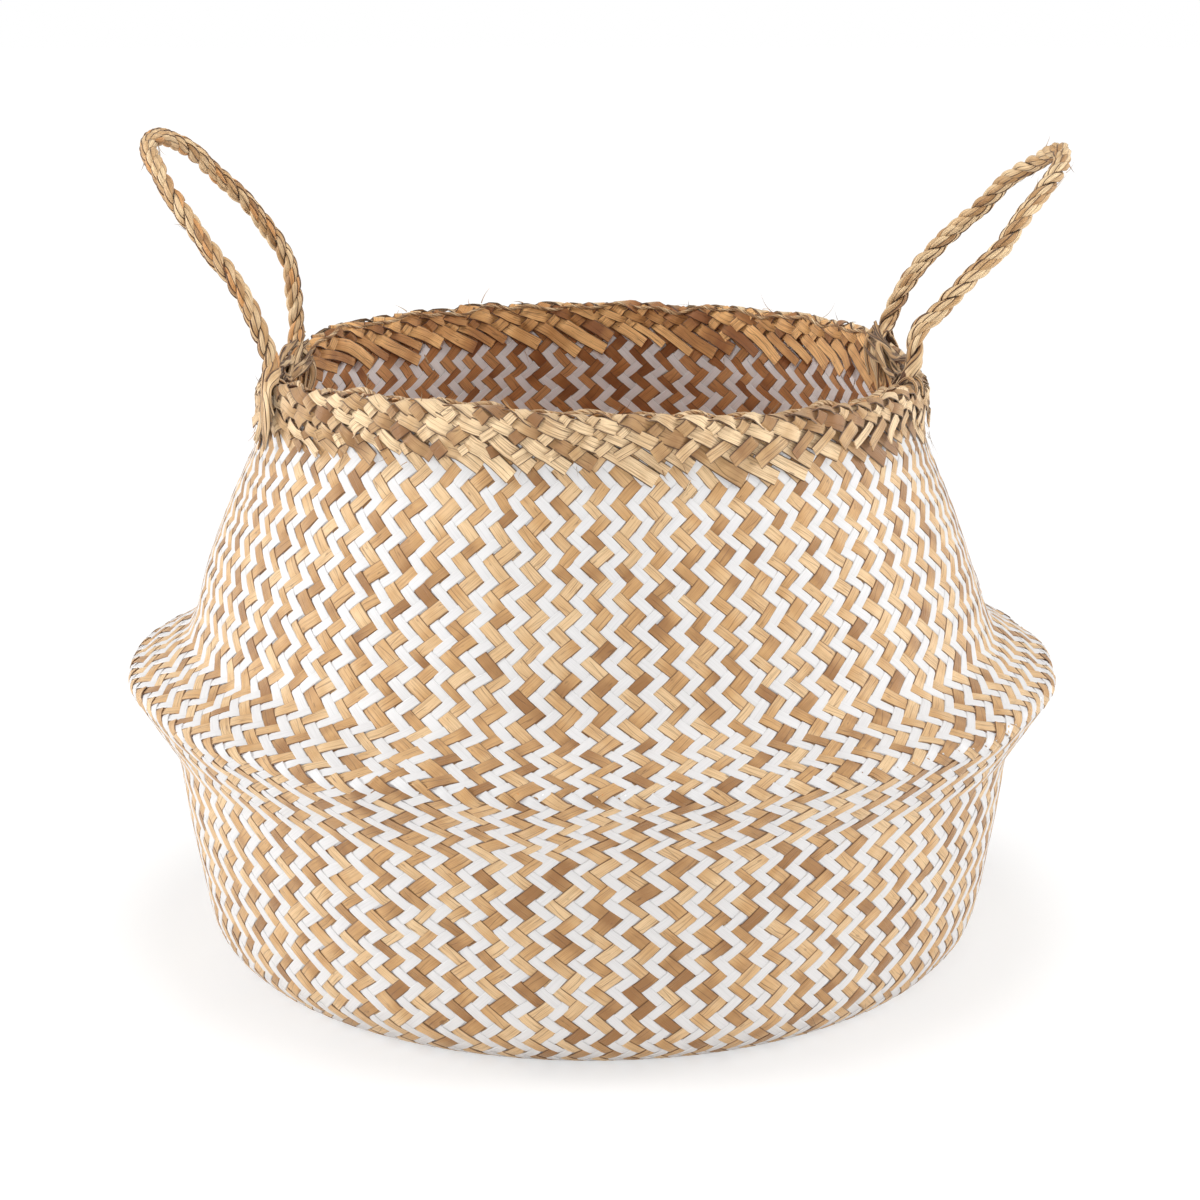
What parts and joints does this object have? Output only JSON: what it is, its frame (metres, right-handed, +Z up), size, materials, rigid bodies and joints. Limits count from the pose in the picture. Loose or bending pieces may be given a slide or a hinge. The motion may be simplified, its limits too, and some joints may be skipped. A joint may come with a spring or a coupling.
{
  "type": "belly basket",
  "caption": "Round plaited seagrass belly basket with a zigzag weave, its belly folded down into a sharp brim, an open mouth with a plain plaited rim band and twisted rope loop handles.",
  "frame": {"origin": "centre of the flat underside of the base, on the surface that the basket stands on", "axes": "+X towards the right-hand handle, +Y away from the front of the basket, +Z up out of the mouth"},
  "size_m": [0.4193, 0.4182, 0.374],
  "materials": {
    "plaiting": "dry seagrass strands, half of them painted matt white, plaited in a zigzag twill",
    "rim": "unpainted tan and brown seagrass strands, plaited double over the top edge",
    "rope": "unpainted seagrass leaves twisted into plies and rope",
    "cord": "unpainted seagrass leaves twisted into a thin cord"
  },
  "bodies": {
    "lower_half": {"base_mat": "plaiting", "lower_wall": "plaiting", "belly_fold": "plaiting"},
    "upper_half": {"upper_wall": "plaiting", "rim_band": "rim", "front_closing_cord": "cord", "back_closing_cord": "cord", "left_front_anchor": "rope", "left_back_anchor": "rope", "right_front_anchor": "rope", "right_back_anchor": "rope", "left_inner_tie": "cord", "right_inner_tie": "cord"},
    "left_handle": {"left_handle_rope": "rope"},
    "right_handle": {"right_handle_rope": "rope"}
  },
  "joints": [
    {"name": "belly_fold_travel", "type": "slide", "parent": "lower_half", "child": "upper_half", "axis": [0, 0, 1], "range_m": [-0.032, 0.014], "deforming": ["belly_fold"]},
    {"name": "left_handle_swing", "type": "hinge", "parent": "upper_half", "child": "left_handle", "pos_m": [-0.13676, 0, 0.27946], "axis": [0, 1, 0], "range_deg": [-72, 108]},
    {"name": "right_handle_swing", "type": "hinge", "parent": "upper_half", "child": "right_handle", "pos_m": [0.13722, 0.00239, 0.27946], "axis": [-0.0175, 0.9998, 0], "range_deg": [-110, 70]}
  ]
}
